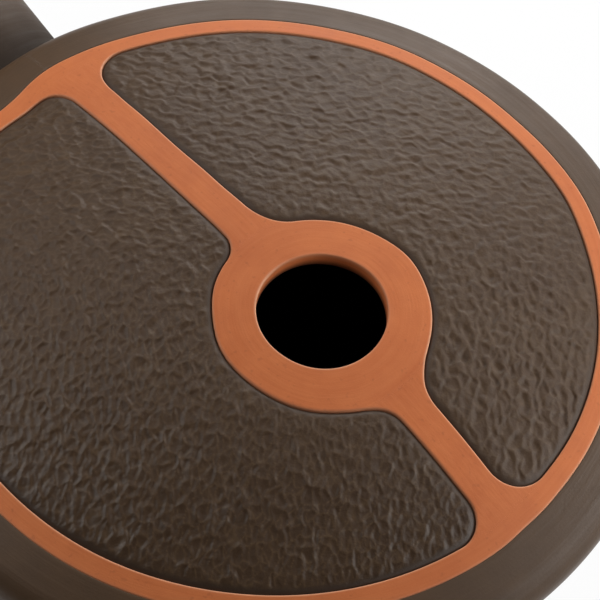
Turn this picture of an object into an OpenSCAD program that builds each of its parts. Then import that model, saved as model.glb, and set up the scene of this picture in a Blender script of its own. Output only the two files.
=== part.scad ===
// Udu drum: a squat, hollow clay pot with a domed playing face, a side neck
// and an off-centre sound hole. Millimetres, Z up, origin on the table under
// the middle of the foot. The neck points along +Y.

/* [Body] */
// Diameter of the pot at its widest, the rolled rim
body_d = 330; // [310:2:350]
// Height from the table to the top of the dome
body_h = 160; // [152:1:172]
// Wall of the pot
wall_t = 7; // [5.5:0.5:8]
// Outer radius of the rolled rim between the face and the side
rim_round = 12; // [10:0.5:14]
// Outer radius of the side's long curve, from the rim down to the floor's curve
side_r = 300; // [260:5:360]
// Radius of the flat floor
floor_r = 40; // [32:1:46]
// Outer radius of the curve from the side into the floor
floor_round = 60; // [52:1:66]

/* [Foot] */
// Height of the foot ring, which is also the floor's height off the table
foot_h = 7; // [5:0.5:10]
// Outer diameter of the foot ring
foot_d = 140; // [124:2:150]
// Width of the foot ring
foot_w = 12; // [9:1:16]
// Bevel on the two lower edges of the foot ring
foot_bevel = 1.5; // [0.5:0.25:2.5]

/* [Playing face] */
// Rise of the dome's top above the rim's widest line
dome_rise = 31.6; // [28:0.2:35]
// Distance from the pot's widest line to the bare clay ring
ring_inset = 21.5; // [18:0.5:30]
// Width of the bare clay ring
ring_w = 8.3; // [6:0.1:12]
// Width of the bare clay band that crosses the face
band_w = 14.8; // [10:0.2:20]
// How far the band and the sound hole stand to the right of the middle
band_x = 3.2; // [0:0.2:6]
// Rounding of an inlay's corner between the band and the ring
ring_corner = 11; // [6:0.5:14]
// Rounding of an inlay's corner between the band and the collar
collar_corner = 8; // [4:0.5:11]

/* [Sound hole] */
// Diameter of the sound hole
hole_d = 52; // [40:1:60]
// How far the sound hole stands from the middle, away from the neck
hole_y = 29; // [20:1:40]
// Width of the bare clay collar round the sound hole
collar_w = 17.6; // [12:0.2:22]
// Bevel on the upper edge of the sound hole
hole_bevel = 1.5; // [0.5:0.25:2.5]

/* [Inlays] */
// Thickness of the dark clay let into the face
inlay_t = 2.5; // [1.5:0.25:3.5]
// How far the dark clay stands above the bare clay
inlay_proud = 0.5; // [0.2:0.1:1]
// Width of the groove round the dark clay
groove_w = 0.8; // [0.4:0.1:1.2]

/* [Neck] */
// Outer diameter of the neck's tube
neck_d = 70; // [62:1:76]
// Wall of the neck
neck_wall = 7; // [5:0.5:8]
// Height at which the neck's axis, run on into the pot, meets the pot's axis
neck_aim = 51.6; // [46:0.2:56]
// Length of the plain tube beyond the pot's widest line
neck_run = 51.5; // [38:0.5:66]
// Outer radius of the curve of the mouth's flare
flare_r = 46; // [36:1:60]
// How far the flare turns outwards, in degrees
flare_turn = 42; // [30:1:48]
// Radius of the rolled lip
lip_r = 5.5; // [4.5:0.25:7]
// Depth of the neck's upper edge below the rim's widest line
neck_drop = 6.75; // [6.25:0.25:8.5]
// Size of the clay coil that fills the corner at the neck's root
root_coil = 6; // [4:0.5:8]

/* [Joints] */
// Height of the overlap where the pot's two halves meet
lap_h = 4; // [3:0.5:5]
// Depth of the joint between the halves below the rolled rim
seam_drop = 1.8; // [1.2:0.2:3]
// Width of the ledge that carries the playing face
ledge_w = 4.5; // [3:0.5:6]
// Radius of the coils pressed into the joints from inside
coil_r = 3.5; // [2.5:0.25:4]

/* [Hidden] */
$fn = 96;

// Pieces in a whole circle of the pot's profile
profile_fn = 480;
// How far a cutter runs past what it cuts
overrun = 1;
// How far a lip's centre stands beyond the end of the neck, as a share of its radius
lip_reach_share = 0.4;
// Pieces in an outline's long arcs, its collar arcs and its corners
ring_steps = 48;
collar_steps = 24;
corner_steps = 6;
// Length of the band that is one piece with the collar
collar_run = 2;
// How far a strip's cutter reaches under and over the arc that it cuts
cut_deep = (rim_round + max(wall_t, neck_wall)) / 2;
cut_high = root_coil + overrun;

body_r = body_d / 2;
foot_r = foot_d / 2;
ring_r = body_r - ring_inset;
face_r = ring_r - ring_w;
half_band = band_w / 2;
hole_r = hole_d / 2;
collar_r = hole_r + collar_w;
half_wall = wall_t / 2;
neck_r = neck_d / 2;
bore_r = neck_r - neck_wall;

// Centres of the arcs of the pot's outer profile, as [radius, height]. Each arc
// is tangent to the next: dome, rolled rim, side, corner of the floor.
rim_c = [body_r - rim_round, body_h - dome_rise];
dome_r = (pow(rim_c.x, 2) + pow(dome_rise, 2) - pow(rim_round, 2)) / (2 * (dome_rise - rim_round));
dome_c = [0, body_h - dome_r];
corner_c = [floor_r, foot_h + floor_round];
rim_reach = side_r - rim_round;
floor_reach = side_r - floor_round;
span = norm(corner_c - rim_c);
down = (corner_c - rim_c) / span;
side_down = (pow(rim_reach, 2) - pow(floor_reach, 2) + pow(span, 2)) / (2 * span);
side_in = sqrt(pow(rim_reach, 2) - pow(side_down, 2));
side_c = rim_c + side_down * down + side_in * [down.y, -down.x];

// Directions, in degrees, in which one arc hands over to the next
dome_end = atan2(rim_c.y - dome_c.y, rim_c.x - dome_c.x);
side_start = atan2(rim_c.y - side_c.y, rim_c.x - side_c.x);
side_end = atan2(corner_c.y - side_c.y, corner_c.x - side_c.x);

// Heights of the rim's widest line and of the joint between the two halves,
// on the outside and on the inside of the wall
rim_z = rim_c.y;
seam_z = polar(rim_c, rim_round, side_start).y - seam_drop;
seam_low = seam_z - lap_h;

// Where the neck's axis passes under the rim, its rise in degrees, and how far
// it runs into the pot
neck_at = [0, body_r, rim_z - neck_drop - neck_r];
neck_tilt = atan2(neck_at.z - neck_aim, body_r);
neck_buried = body_r - floor_r;

// Centre and end of the flare, as [radius, length along the neck]
flare_c = [neck_r + flare_r, neck_run];
flare_end = 180 - flare_turn;
lip_c = polar(flare_c, flare_r + neck_wall / 2, flare_end)
    + lip_r * lip_reach_share * [sin(flare_end), -cos(flare_end)];

function polar(c, r, a) = [c.x + r * cos(a), c.y + r * sin(a)];
function arc(c, r, a0, a1, n) = [for (i = [0:n]) polar(c, r, a0 + (a1 - a0) * i / n)];
function reversed(list) = [for (i = [len(list) - 1:-1:0]) list[i]];

// Points measured from the band's middle line, set out to the right or the left
function to_side(points, side) = [for (p = points) [band_x + side * p.x, p.y]];

// Centres of an inlay's corners, measured from the band's middle line
function ring_corner_c(side, up) = let(
    x = half_band + ring_corner,
    off = x + side * band_x
) [x, up * sqrt(pow(face_r - ring_corner, 2) - off * off)];

function collar_corner_c(up) = let(
    x = half_band + collar_corner
) [x, up * sqrt(pow(collar_r + collar_corner, 2) - x * x) - hole_y];

// Direction from the middle of the sound hole to the collar's corner
collar_turn = atan2(collar_corner_c(1).y + hole_y, collar_corner_c(1).x);

// The edge along the collar: from the upper corner round the hole to the lower one
function collar_edge(inset) = concat(
    arc(collar_corner_c(1), collar_corner - inset, 180, 180 + collar_turn, corner_steps),
    arc([0, -hole_y], collar_r + inset, collar_turn, -collar_turn, collar_steps),
    arc(collar_corner_c(-1), collar_corner - inset, 180 - collar_turn, 180, corner_steps)
);

// Outline of one dark area, drawn in from the bare clay's edge by an inset
function inlay_outline(side, inset) = let(
    middle = [-side * band_x, 0],
    top = ring_corner_c(side, 1),
    low = ring_corner_c(side, -1),
    turn = atan2(top.y, top.x - middle.x)
) concat(
    arc(middle, face_r - inset, -turn, turn, ring_steps),
    arc(top, ring_corner - inset, turn, 180, corner_steps),
    collar_edge(inset),
    arc(low, ring_corner - inset, 180, 360 - turn, corner_steps)
);

// Outline of the collar with its short stubs of the band
function collar_side(side) = let(
    high = collar_corner_c(1).y + collar_run,
    low = collar_corner_c(-1).y - collar_run
) to_side(concat([[half_band, high]], collar_edge(0), [[half_band, low]]), side);

collar_outline = concat(collar_side(1), reversed(collar_side(-1)));

// The part of the plane between two distances from c and between two directions
module sector(c, near, far, a0, a1) {
    polygon(concat(
        arc(c, near, a0, a1, corner_steps),
        reversed(arc(c, far, a0, a1, corner_steps))
    ));
}

// A strip along one arc of a profile, between two depths under its outer side
module strip(c, r, outer, inner, a0, a1) {
    intersection() {
        difference() {
            translate(c) circle(r - outer, $fn = profile_fn);
            translate(c) circle(r - inner, $fn = profile_fn);
        }
        sector(c, r - cut_deep, r + cut_high, a0, a1);
    }
}

// The dome's strip between two distances from the pot's axis
module dome_strip(outer, inner, x0, x1) {
    intersection() {
        strip(dome_c, dome_r, outer, inner, dome_end, 90);
        translate([x0, 0]) square([x1 - x0, 2 * body_h]);
    }
}

module rim_strip(outer, inner) {
    strip(rim_c, rim_round, outer, inner, side_start, dome_end);
}

module side_strip(outer, inner) {
    strip(side_c, side_r, outer, inner, side_end, side_start);
}

module floor_strip(outer, inner) {
    strip(corner_c, floor_round, outer, inner, -90, side_end);
    translate([0, foot_h + outer]) square([floor_r, inner - outer]);
}

// The plane to the right of the axis, below or above a height
module below(z) {
    translate([0, -body_h]) square([body_d, z + body_h]);
}

module above(z) {
    translate([0, z]) square([body_d, body_h]);
}

// The pot's inside, as far as the middle of its wall
module core() {
    polygon(concat(
        [[0, foot_h + half_wall]],
        arc(corner_c, floor_round - half_wall, -90, side_end, corner_steps),
        arc(side_c, side_r - half_wall, side_end, side_start, corner_steps),
        arc(rim_c, rim_round - half_wall, side_start, dome_end, corner_steps),
        arc(dome_c, dome_r - half_wall, dome_end, 90, corner_steps)
    ));
}

// Puts a shape that stands on the XY plane along the neck's axis
module along_neck() {
    translate(neck_at) rotate([neck_tilt - 90, 0, 0]) children();
}

// A round bar along the neck's axis, from inside the pot to past the mouth
module neck_bar(r) {
    along_neck() translate([0, 0, -neck_buried]) cylinder(r = r, h = neck_buried + neck_run);
}

module lower_bowl() {
    color("#3f3733") difference() {
        rotate_extrude() difference() {
            union() {
                side_strip(0, wall_t);
                floor_strip(0, wall_t);
            }
            above(seam_z);
            intersection() {
                side_strip(half_wall, wall_t + overrun);
                above(seam_low);
            }
        }
        neck_bar(bore_r);
    }
}

// The foot reaches up to the pot's underside and leaves room for the neck's root
module foot_ring() {
    color("#b06a45") difference() {
        rotate_extrude() difference() {
            polygon([
                [foot_r - foot_w + foot_bevel, 0],
                [foot_r - foot_bevel, 0],
                [foot_r, foot_bevel],
                [foot_r, corner_c.y],
                [foot_r - foot_w, corner_c.y],
                [foot_r - foot_w, foot_bevel]
            ]);
            floor_strip(0, wall_t);
            side_strip(0, wall_t);
            core();
        }
        neck_bar(neck_r + root_coil);
    }
}

module shoulder_ring() {
    color("#4a423d") rotate_extrude() difference() {
        union() {
            dome_strip(0, wall_t, ring_r - ledge_w, body_r);
            rim_strip(0, wall_t);
            side_strip(0, wall_t);
        }
        below(seam_low);
        dome_strip(-overrun, half_wall, 0, ring_r + groove_w);
        intersection() {
            side_strip(-overrun, half_wall);
            below(seam_z);
        }
    }
}

// What is cut away for one dark area, down to the inlay's bed
module inlay_bed(side) {
    difference() {
        linear_extrude(2 * body_h) polygon(to_side(inlay_outline(side, 0), side));
        translate([0, 0, dome_c.y]) sphere(dome_r - inlay_t, $fn = profile_fn);
    }
}

module playing_face() {
    color("#c57f57") difference() {
        rotate_extrude() {
            dome_strip(0, half_wall, 0, ring_r);
            dome_strip(half_wall, wall_t, 0, ring_r - ledge_w);
        }
        inlay_bed(1);
        inlay_bed(-1);
        linear_extrude(2 * body_h) polygon(collar_outline);
    }
}

module hole_collar() {
    top_z = dome_c.y + sqrt(pow(dome_r, 2) - pow(hole_y, 2));
    color("#c57f57") difference() {
        intersection() {
            rotate_extrude() dome_strip(0, wall_t, 0, ring_r);
            linear_extrude(2 * body_h) polygon(collar_outline);
        }
        translate([band_x, -hole_y, 0]) cylinder(r = hole_r, h = 2 * body_h);
        translate([band_x, -hole_y, top_z - hole_bevel])
            cylinder(r1 = hole_r, r2 = hole_r + 2 * hole_bevel, h = 2 * hole_bevel);
    }
}

module inlay(side) {
    color("#574b41") intersection() {
        rotate_extrude() dome_strip(-inlay_proud, inlay_t, 0, ring_r);
        linear_extrude(2 * body_h) polygon(to_side(inlay_outline(side, groove_w), side));
    }
}

module inlay_left() {
    inlay(-1);
}

module inlay_right() {
    inlay(1);
}

module neck() {
    color("#443c37") difference() {
        along_neck() rotate_extrude() {
            translate([bore_r, -neck_buried]) square([neck_wall, neck_buried + neck_run]);
            strip(flare_c, flare_r + neck_wall, 0, neck_wall, flare_end, 180);
        }
        rotate_extrude() rim_strip(0, wall_t);
        rotate_extrude() side_strip(0, wall_t);
        rotate_extrude() core();
    }
}

module neck_lip() {
    color("#443c37") along_neck() rotate_extrude() difference() {
        translate(lip_c) circle(lip_r);
        sector(flare_c, flare_r - lip_r, flare_c.x, flare_end, 180);
    }
}

// The part of a coil round the neck's root that lies on one strip of the pot
module root_part() {
    difference() {
        intersection() {
            neck_bar(neck_r + root_coil);
            rotate_extrude() children();
        }
        neck_bar(neck_r);
    }
}

module neck_root_coil() {
    color("#443c37") {
        root_part() side_strip(-root_coil, 0);
        root_part() rim_strip(-root_coil, 0);
    }
}

// A half-round coil on the inside of the wall, in direction a from the arc's centre
module coil_section(c, r, a) {
    inner_r = r - wall_t;
    half = asin(2 * coil_r / inner_r);
    difference() {
        translate(polar(c, inner_r, a)) circle(coil_r);
        polygon([
            polar(c, inner_r, a - half),
            polar(c, r, a - half),
            polar(c, r, a + half),
            polar(c, inner_r, a + half)
        ]);
    }
}

module body_seam_coil() {
    color("#a5613f") rotate_extrude()
        coil_section(side_c, side_r, asin((seam_low - side_c.y) / (side_r - wall_t)));
}

module face_seam_coil() {
    color("#a5613f") rotate_extrude()
        coil_section(dome_c, dome_r, acos((ring_r - ledge_w) / (dome_r - wall_t)));
}

lower_bowl();
foot_ring();
shoulder_ring();
playing_face();
hole_collar();
inlay_left();
inlay_right();
neck();
neck_lip();
neck_root_coil();
body_seam_coil();
face_seam_coil();
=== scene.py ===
"""Udu drum, dressed for rendering: a squat clay pot with a domed playing face.

Shapes are worked out in millimetres, in the same frame as the solids: Z up,
origin on the table under the middle of the foot, neck along +Y. They are
brought to metres when a piece is made.
"""
import math

import bmesh
import bpy
import numpy as np
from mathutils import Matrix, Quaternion, Vector, kdtree
from mathutils.geometry import delaunay_2d_cdt


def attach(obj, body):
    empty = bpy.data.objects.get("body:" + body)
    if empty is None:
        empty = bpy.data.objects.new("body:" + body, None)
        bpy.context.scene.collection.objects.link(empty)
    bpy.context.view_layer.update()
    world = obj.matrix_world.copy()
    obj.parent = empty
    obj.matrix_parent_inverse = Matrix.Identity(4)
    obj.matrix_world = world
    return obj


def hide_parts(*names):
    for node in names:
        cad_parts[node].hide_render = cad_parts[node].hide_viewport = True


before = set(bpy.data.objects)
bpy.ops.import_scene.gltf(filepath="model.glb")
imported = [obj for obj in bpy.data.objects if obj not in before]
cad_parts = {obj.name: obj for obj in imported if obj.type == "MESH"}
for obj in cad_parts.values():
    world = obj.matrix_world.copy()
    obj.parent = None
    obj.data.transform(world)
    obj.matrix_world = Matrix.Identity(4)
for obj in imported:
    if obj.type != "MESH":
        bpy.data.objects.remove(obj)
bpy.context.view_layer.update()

MM = 0.001

# Sizes of the drum, the same as in the solids
BODY_R = 165.0
BODY_H = 160.0
WALL = 7.0
RIM_ROUND = 12.0
SIDE_R = 300.0
FLOOR_R = 40.0
FLOOR_ROUND = 60.0
DOME_RISE = 31.6
FOOT_H = 7.0
FOOT_R = 70.0
FOOT_W = 12.0
FOOT_BEVEL = 1.5
RING_R = 143.5
RING_W = 8.3
FACE_R = RING_R - RING_W
HALF_BAND = 7.4
BAND_X = 3.2
# Rounding of each panel's corners, by side of the band: right is 1, left is -1
RING_CORNERS = {1: {"top": 17.0, "low": 14.5}, -1: {"top": 14.5, "low": 12.5}}
COLLAR_CORNERS = {1: {"top": 21.5, "low": 21.5}, -1: {"top": 10.5, "low": 15.5}}
COLLAR_RUN = 2.0
HOLE_R = 26.0
HOLE_Y = 29.0
COLLAR_W = 17.6
COLLAR_R = HOLE_R + COLLAR_W
INLAY_T = 2.5
LAP_H = 4.0
SEAM_DROP = 1.8
LEDGE_W = 4.5
COIL_R = 3.5
NECK_R = 35.0
NECK_WALL = 7.0
NECK_AIM = 51.6
NECK_RUN = 51.5
NECK_DROP = 6.75
FLARE_R = 46.0
FLARE_TURN = 42.0
FLARE_END = 180.0 - FLARE_TURN
LIP_R = 5.5
LIP_REACH = 0.4 * LIP_R

HOLE_C = np.array([BAND_X, -HOLE_Y])


def polar(centre, r, a):
    """The point at distance r from centre in direction a, in degrees."""
    return np.array([
        centre[0] + r * math.cos(math.radians(a)),
        centre[1] + r * math.sin(math.radians(a)),
    ])


def turn_of(centre, point):
    """The direction from centre to point, in degrees."""
    return math.degrees(math.atan2(point[1] - centre[1], point[0] - centre[0]))


# Centres of the profile's arcs as [radius, height], each tangent to the next
RIM_C = np.array([BODY_R - RIM_ROUND, BODY_H - DOME_RISE])
DOME_R = (RIM_C[0] ** 2 + DOME_RISE ** 2 - RIM_ROUND ** 2) / (2 * (DOME_RISE - RIM_ROUND))
DOME_C = np.array([0.0, BODY_H - DOME_R])
CORNER_C = np.array([FLOOR_R, FOOT_H + FLOOR_ROUND])
SPAN = math.dist(CORNER_C, RIM_C)
DOWN = (CORNER_C - RIM_C) / SPAN
SIDE_DOWN = ((SIDE_R - RIM_ROUND) ** 2 - (SIDE_R - FLOOR_ROUND) ** 2 + SPAN ** 2) / (2 * SPAN)
SIDE_IN = math.sqrt((SIDE_R - RIM_ROUND) ** 2 - SIDE_DOWN ** 2)
SIDE_C = RIM_C + SIDE_DOWN * DOWN + SIDE_IN * np.array([DOWN[1], -DOWN[0]])
DOME_END = turn_of(DOME_C, RIM_C)
SIDE_START = turn_of(SIDE_C, RIM_C)
SIDE_END = turn_of(SIDE_C, CORNER_C)
SEAM_Z = polar(RIM_C, RIM_ROUND, SIDE_START)[1] - SEAM_DROP
SEAM_LOW = SEAM_Z - LAP_H

# The neck's axis
NECK_AT = np.array([0.0, BODY_R, RIM_C[1] - NECK_DROP - NECK_R])
NECK_TILT = math.atan2(NECK_AT[2] - NECK_AIM, BODY_R)
NECK_AXES = np.array([
    [1, 0, 0],
    [0, math.sin(NECK_TILT), -math.cos(NECK_TILT)],
    [0, math.cos(NECK_TILT), math.sin(NECK_TILT)],
])
FLARE_C = np.array([NECK_R + FLARE_R, NECK_RUN])


def arc(centre, r, a0, a1, step=1.5):
    """Points along an arc, about one step apart, both ends included."""
    count = max(2, math.ceil(abs(math.radians(a1 - a0)) * r / step))
    turns = np.radians(np.linspace(a0, a1, count + 1))
    return np.column_stack([centre[0] + r * np.cos(turns), centre[1] + r * np.sin(turns)])


def subdivided(points, step, closed=True):
    """Points with more of them between, so that none are further apart than a step."""
    ends = np.roll(points, -1, axis=0) if closed else points[1:]
    rows = []
    for a, b in zip(points, ends):
        count = max(1, math.ceil(math.dist(a, b) / step))
        rows.append(a + (b - a) * np.arange(count)[:, None] / count)
    if not closed:
        rows.append(points[-1:])
    return np.vstack(rows)


def smooth(low, high, x):
    """0 below low, 1 above high and an even rise between."""
    t = np.clip((x - low) / (high - low), 0, 1)
    return t * t * (3 - 2 * t)


# The potter's hand
# Places where a border on the face swerves: where, which way in mm, how far round
SWERVES = [
    ((22, -47), (1.5, 1.5), 36),
    ((-27, 133), (0.2, -2.2), 12),
    ((11, 26), (1.8, 0.6), 17),
    ((17, 142), (0.4, 1.2), 25),
    ((121, 61), (0.9, 0.4), 25),
    ((-4, -94), (0.8, -0.3), 25),
    ((128, -44), (0.8, -0.2), 17),
    ((-39, -38), (0.8, 0.6), 17),
    ((25, -132), (-0.7, 0.5), 17),
    ((11, 98), (0.6, 0.0), 17),
    ((-18, 134), (-0.1, -1.8), 8),
    ((-33, -4), (0.6, -0.5), 12),
    ((144, 0), (-0.5, -0.2), 17),
    ((47, -31), (0.9, -0.1), 12),
    ((-11, -70), (-0.7, -1.0), 8),
    ((17, -71), (0.4, -0.9), 8),
    ((11, 53), (0.6, 0.0), 12),
    ((0, 143), (-0.2, 0.7), 12),
    ((11, 116), (0.7, -0.1), 8),
    ((7, -143), (-0.1, 0.5), 8),
]
UNEVEN_SEED = 11
UNEVEN_WAVES = 9
UNEVEN_DEPTH = 0.11
UNEVEN_LENGTHS = (55, 150)
# Heights over which the unevenness sets in, so that the foot stands flat
UNEVEN_RISE = (0, 14)


def by_hand(points):
    """Moves points a little, as the clay of a hand-built pot lies off its true form."""
    rng = np.random.default_rng(UNEVEN_SEED)
    moved = points.copy()
    for _ in range(UNEVEN_WAVES):
        heading = rng.normal(size=3)
        heading *= 2 * math.pi / (np.linalg.norm(heading) * rng.uniform(*UNEVEN_LENGTHS))
        way = rng.normal(size=3) * UNEVEN_DEPTH
        moved += np.sin(points @ heading + rng.uniform(0, 2 * math.pi))[:, None] * way
    for (x, y), push, reach in SWERVES:
        near = np.exp(-((points[:, 0] - x) ** 2 + (points[:, 1] - y) ** 2) / reach ** 2)
        moved[:, :2] += near[:, None] * np.array(push)
    share = smooth(*UNEVEN_RISE, points[:, 2])[:, None]
    return points + (moved - points) * share


# Mesh work
def stood(name, data):
    """Makes an object from its data and stands it in the scene."""
    new = bpy.data.objects.new(name, data)
    bpy.context.scene.collection.objects.link(new)
    return new


def closed_mesh(name, points, faces):
    """A mesh from points in mm, with its faces turned outward."""
    mesh = bpy.data.meshes.new(name)
    mesh.from_pydata((points * MM).tolist(), [], faces)
    shell = bmesh.new()
    shell.from_mesh(mesh)
    bmesh.ops.recalc_face_normals(shell, faces=shell.faces)
    shell.to_mesh(mesh)
    shell.free()
    return mesh


def make_piece(name, points, faces, finish, node, marks, crease=38):
    """Makes one piece of the drum from points in mm and stands it for its CAD node.
    Its marks are values at the points, for the finish. Edges that turn by more than
    the crease, in degrees, stay sharp."""
    mesh = closed_mesh(name, by_hand(points), faces)
    for label, values in marks.items():
        values = np.asarray(values, dtype=np.float32)
        if values.ndim == 1:
            mesh.attributes.new(label, "FLOAT", "POINT").data.foreach_set("value", values)
        else:
            layer = mesh.attributes.new(label, "FLOAT_VECTOR", "POINT")
            layer.data.foreach_set("vector", values.ravel())
    mesh.polygons.foreach_set("use_smooth", [True] * len(mesh.polygons))
    mesh.set_sharp_from_angle(angle=math.radians(crease))
    mesh.materials.append(finish)
    piece = stood(name, mesh)
    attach(piece, "root")
    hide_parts(node)


def lathe(outline, turns, on_axis=False):
    """Turns an outline of [radius, height] round the Z axis. A closed outline gives a
    ring. One that starts and ends on the axis gives a bowl, closed at its two poles."""
    inner = outline[1:-1] if on_axis else outline
    angles = np.arange(turns) * 2 * math.pi / turns
    points = np.stack([
        inner[:, :1] * np.cos(angles),
        inner[:, :1] * np.sin(angles),
        np.repeat(inner[:, 1:], turns, axis=1),
    ], axis=2).reshape(-1, 3)
    faces = ring_faces(len(inner), turns, not on_axis)
    if on_axis:
        poles = [[0, 0, outline[0, 1]], [0, 0, outline[-1, 1]]]
        first = len(points)
        last = (len(inner) - 1) * turns
        points = np.vstack([points, poles])
        for i in range(turns):
            j = (i + 1) % turns
            faces += [(first, j, i), (first + 1, last + i, last + j)]
    return points, faces


def ring_faces(rows, turns, closed):
    """Four-sided faces over rows of points that each run once round."""
    faces = []
    for row in range(rows if closed else rows - 1):
        a, b = row * turns, (row + 1) % rows * turns
        for i in range(turns):
            j = (i + 1) % turns
            faces.append((a + i, a + j, b + j, b + i))
    return faces


def triangulate(loops, lines, loose):
    """Triangles inside the first loop that keep every loop and line as edges.
    Returns the points, the triangles and where the first loop's points are."""
    edges, first = [], 0
    for run, closed in [(loop, True) for loop in loops] + [(line, False) for line in lines]:
        count = len(run)
        edges += [(first + i, first + (i + 1) % count) for i in range(count - (not closed))]
        first += count
    plan = np.vstack([*loops, *lines, loose])
    only_inside, merge_gap = 1, 1e-5
    found = delaunay_2d_cdt([Vector(p) for p in plan], edges, [list(range(len(loops[0])))],
                            only_inside, merge_gap)
    place = {old: new for new, olds in enumerate(found[3]) for old in olds}
    rim = [place[i] for i in range(len(loops[0]))]
    return np.array([tuple(p) for p in found[0]]), np.array(found[2]), rim


def honeycomb(pitch, reach):
    """Points of an even three-way grid over the face."""
    rows = np.arange(-reach, reach, pitch * math.sqrt(0.75))
    columns = np.arange(-reach, reach, pitch)
    x, y = np.meshgrid(columns, rows)
    x = x + (np.arange(len(rows)) % 2 * pitch / 2)[:, None]
    return np.column_stack([x.ravel(), y.ravel()])


def inside(points, loop):
    """Which points lie inside a closed loop."""
    result = np.zeros(len(points), bool)
    for (ax, ay), (bx, by) in zip(loop, np.roll(loop, -1, axis=0)):
        if ay == by:
            continue
        crosses = (ay > points[:, 1]) != (by > points[:, 1])
        x = ax + (points[:, 1] - ay) * (bx - ax) / (by - ay)
        result ^= crosses & (points[:, 0] < x)
    return result


def distance_to(points, loops):
    """How far each point is from the nearest of the closed loops."""
    starts = np.vstack(loops)
    ends = np.vstack([np.roll(loop, -1, axis=0) for loop in loops])
    befores = np.vstack([np.roll(loop, 1, axis=0) for loop in loops])
    tree = kdtree.KDTree(len(starts))
    for i, (x, y) in enumerate(starts):
        tree.insert((x, y, 0), i)
    tree.balance()
    near = np.array([tree.find((x, y, 0))[1] for x, y in points])
    gaps = []
    for a, b in ((starts[near], ends[near]), (starts[near], befores[near])):
        run = b - a
        along = np.einsum("ij,ij->i", points - a, run) / np.einsum("ij,ij->i", run, run)
        foot = a + run * np.clip(along, 0, 1)[:, None]
        gaps.append(np.linalg.norm(points - foot, axis=1))
    return np.minimum(*gaps)


def on_dome(plan, depth):
    """Points of the face at a depth under the dome's outer side."""
    z = DOME_C[1] + np.sqrt((DOME_R - depth) ** 2 - plan[:, 0] ** 2 - plan[:, 1] ** 2)
    return np.column_stack([plan, z])


# Outlines on the face
def panel_outline(side, inset, step=1.0):
    """Outline of one dark panel, drawn in from the bare clay's edge by an inset."""
    middle = np.array([-side * BAND_X, 0.0])
    hole = np.array([0.0, -HOLE_Y])
    ends = []
    for end, way in (("top", 1), ("low", -1)):
        ring_r, collar_r = RING_CORNERS[side][end], COLLAR_CORNERS[side][end]
        x = HALF_BAND + ring_r
        off = x + side * BAND_X
        at_ring = np.array([x, way * math.sqrt((FACE_R - ring_r) ** 2 - off ** 2)])
        x = HALF_BAND + collar_r
        at_collar = hole + (x, way * math.sqrt((COLLAR_R + collar_r) ** 2 - x ** 2))
        ends.append([(at_ring, ring_r - inset), turn_of(middle, at_ring),
                     (at_collar, collar_r - inset), turn_of(hole, at_collar)])
    (top_ring, top_turn, top_collar, top_bend), (low_ring, low_turn, low_collar, low_bend) = ends
    outline = subdivided(np.vstack([
        arc(middle, FACE_R - inset, low_turn, top_turn, step)[:-1],
        arc(*top_ring, top_turn, 180, step),
        arc(*top_collar, 180, 180 + top_bend, step)[:-1],
        arc(hole, COLLAR_R + inset, top_bend, low_bend, step)[:-1],
        arc(*low_collar, 180 + low_bend, 180, step),
        arc(*low_ring, 180, 360 + low_turn, step)[:-1],
    ]), step)
    outline = np.column_stack([BAND_X + side * outline[:, 0], outline[:, 1]])
    return outline if side > 0 else outline[::-1]


def circle(centre, r, step=1.0):
    return arc(centre, r, 0, 360, step)[:-1]


def from_axis(points):
    return np.hypot(points[:, 0], points[:, 1])


def from_hole(points):
    """How far points are from the middle of the sound hole, as seen from above."""
    return np.hypot(points[:, 0] - HOLE_C[0], points[:, 1] - HOLE_C[1])


def rounded(gap, r):
    """How deep an edge rounded to r lies below the surface, at a gap from the edge."""
    t = np.clip(r - gap, 0, r)
    return r - np.sqrt(r * r - t * t)


# Bare clay of the face: ring, band and collar. Each edge is rounded, and rows of points
# run along it at these distances
GROOVE_EDGE = 0.8
GROOVE_ROWS = (0, 0.08, 0.22, 0.45, 0.8, 1.2)
RING_EDGE = 0.6
RING_ROWS = (0, 0.07, 0.2, 0.38, 0.6, 1.1)
HOLE_EDGE = 0.6
HOLE_ROWS = (0, 0.06, 0.18, 0.36, 0.6, 1.1)
# Edges get a painted highlight, most of all where they face the side that the light comes from
HIGHLIGHT_WIDTH = 0.55
HIGHLIGHT_REACH = 3 * HIGHLIGHT_WIDTH
LIGHT_FROM = np.array([1.0, 0.0])
HIGHLIGHT_FACING = (-0.3, 0.6)
HIGHLIGHT_ELSEWHERE = 0.35
# Pitch of the loose points between the rows, and how far they keep clear of them
CLAY_PITCH, CLAY_CLEAR = 1.4, 0.6
BED_PITCH, BED_CLEAR = 9.0, 2.0
LEDGE_STEP = 1.4
# Depths under the dome between which the painted shade of the inside sets in
FACE_SHADE = (5.8, 7.2)
# Levels of depth under the dome: its top, the panels' beds, the ledge and its underside
LEVEL_DEPTHS = (0, INLAY_T, WALL / 2, WALL)
TOP, BED, LEDGE, UNDER = range(4)


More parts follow.
